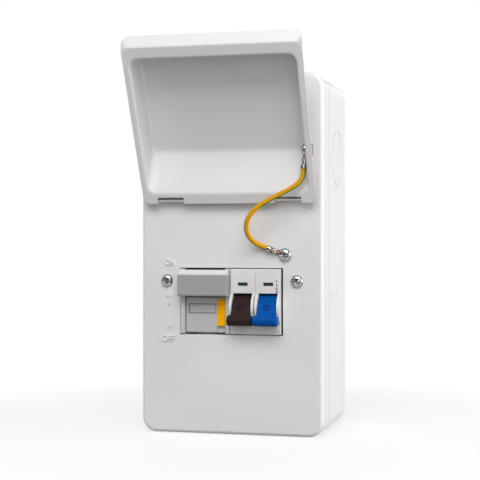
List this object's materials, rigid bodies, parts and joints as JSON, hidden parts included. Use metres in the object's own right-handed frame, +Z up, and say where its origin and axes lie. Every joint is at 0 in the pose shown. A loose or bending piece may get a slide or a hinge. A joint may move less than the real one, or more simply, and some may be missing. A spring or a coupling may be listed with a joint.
{
  "type": "switch fuse unit",
  "caption": "Wall box with a flip lid over a swing-out cartridge fuse carrier and a two pole isolating switch, with a bonding lead to the lid.",
  "frame": {"origin": "centre of the box's back face, on the wall", "axes": "+X to the right seen from the front, +Y into the wall, +Z up"},
  "size_m": [0.128, 0.143, 0.2665],
  "materials": {
    "powder_coat": "fine satin powder coat",
    "zinc_steel": "zinc plated",
    "plated_screw": "bright plated",
    "hinge_nickel": "nickel plated",
    "tinned": "tinned copper",
    "earth_sleeve": "yellow with a green stripe",
    "switch_body": "fine matt moulding",
    "live_brown": "satin",
    "neutral_blue": "satin",
    "flag_plastic": "printed green and red",
    "holder_body": "fine matt moulding",
    "carrier_body": "fine matt moulding",
    "lock_yellow": "satin",
    "clip_plastic": "matt",
    "ceramic": "glazed ceramic",
    "copper": "bare copper",
    "brass": "plain brass"
  },
  "bodies": {
    "enclosure": {"back_box": "powder_coat", "front_cover": "powder_coat", "cover_screws": "plated_screw", "rail_bracket": "zinc_steel", "din_rail": "zinc_steel", "rail_screws": "plated_screw", "cover_hinge_leaf_left": "hinge_nickel", "cover_hinge_leaf_right": "hinge_nickel", "hinge_pin_left": "hinge_nickel", "hinge_pin_right": "hinge_nickel", "cover_ring_terminal": "tinned", "cover_earth_screw": "plated_screw", "cover_earth_nut": "plated_screw", "earth_lead": "earth_sleeve", "switch_case": "switch_body", "switch_terminal_screws": "plated_screw", "toggle_shaft": "plated_screw", "holder_base": "holder_body", "holder_terminal_screws": "plated_screw", "holder_jaw_upper": "tinned", "holder_jaw_lower": "tinned", "carrier_pins": "plated_screw", "link_bar": "copper", "earth_block": "brass", "earth_block_screws": "brass"},
    "lid": {"lid": "powder_coat", "lid_hinge_leaf_left": "hinge_nickel", "lid_hinge_leaf_right": "hinge_nickel", "lid_ring_terminal": "tinned", "lid_earth_screw": "plated_screw", "lid_earth_nut": "plated_screw"},
    "live_toggle": {"live_toggle": "live_brown"},
    "neutral_toggle": {"neutral_toggle": "neutral_blue"},
    "status_flag": {"status_flag": "flag_plastic"},
    "fuse_carrier": {"fuse_carrier": "carrier_body", "fuse_body": "ceramic", "fuse_cap_top": "tinned", "fuse_cap_bottom": "tinned"},
    "lock_slider": {"lock_slider": "lock_yellow"},
    "switch_rail_clip": {"switch_rail_clip": "clip_plastic"},
    "holder_rail_clip": {"holder_rail_clip": "clip_plastic"}
  },
  "joints": [
    {"name": "lid_hinge", "type": "hinge", "parent": "enclosure", "child": "lid", "pos_m": [0, -0.092, 0.038], "axis": [-1, 0, 0], "range_deg": [-154, 0], "deforming": ["earth_lead"]},
    {"name": "carrier_pivot", "type": "hinge", "parent": "enclosure", "child": "fuse_carrier", "pos_m": [-0.0178, -0.08, -0.05], "axis": [1, 0, 0], "range_deg": [0, 60]},
    {"name": "live_toggle_pivot", "type": "hinge", "parent": "enclosure", "child": "live_toggle", "pos_m": [0.009, -0.082, -0.037], "axis": [-1, 0, 0], "range_deg": [0, 46]},
    {"name": "neutral_toggle_pivot", "type": "hinge", "parent": "enclosure", "child": "neutral_toggle", "pos_m": [0.0268, -0.082, -0.037], "axis": [-1, 0, 0], "range_deg": [0, 46]},
    {"name": "status_flag_slide", "type": "slide", "parent": "enclosure", "child": "status_flag", "axis": [0, 0, 1], "range_m": [0, 0.003]},
    {"name": "lock_slide", "type": "slide", "parent": "fuse_carrier", "child": "lock_slider", "axis": [0, 0, -1], "range_m": [0, 0.004]},
    {"name": "switch_clip_slide", "type": "slide", "parent": "enclosure", "child": "switch_rail_clip", "axis": [0, 0, -1], "range_m": [0, 0.004], "stiffness_N_per_m": 200, "springref_m": -0.002},
    {"name": "holder_clip_slide", "type": "slide", "parent": "enclosure", "child": "holder_rail_clip", "axis": [0, 0, -1], "range_m": [0, 0.004], "stiffness_N_per_m": 200, "springref_m": -0.002}
  ],
  "couplings": [
    {"joint": "neutral_toggle_pivot", "follows": "live_toggle_pivot", "ratio": 1},
    {"joint": "status_flag_slide", "follows": "live_toggle_pivot", "m_per_rad": 0.003736}
  ]
}
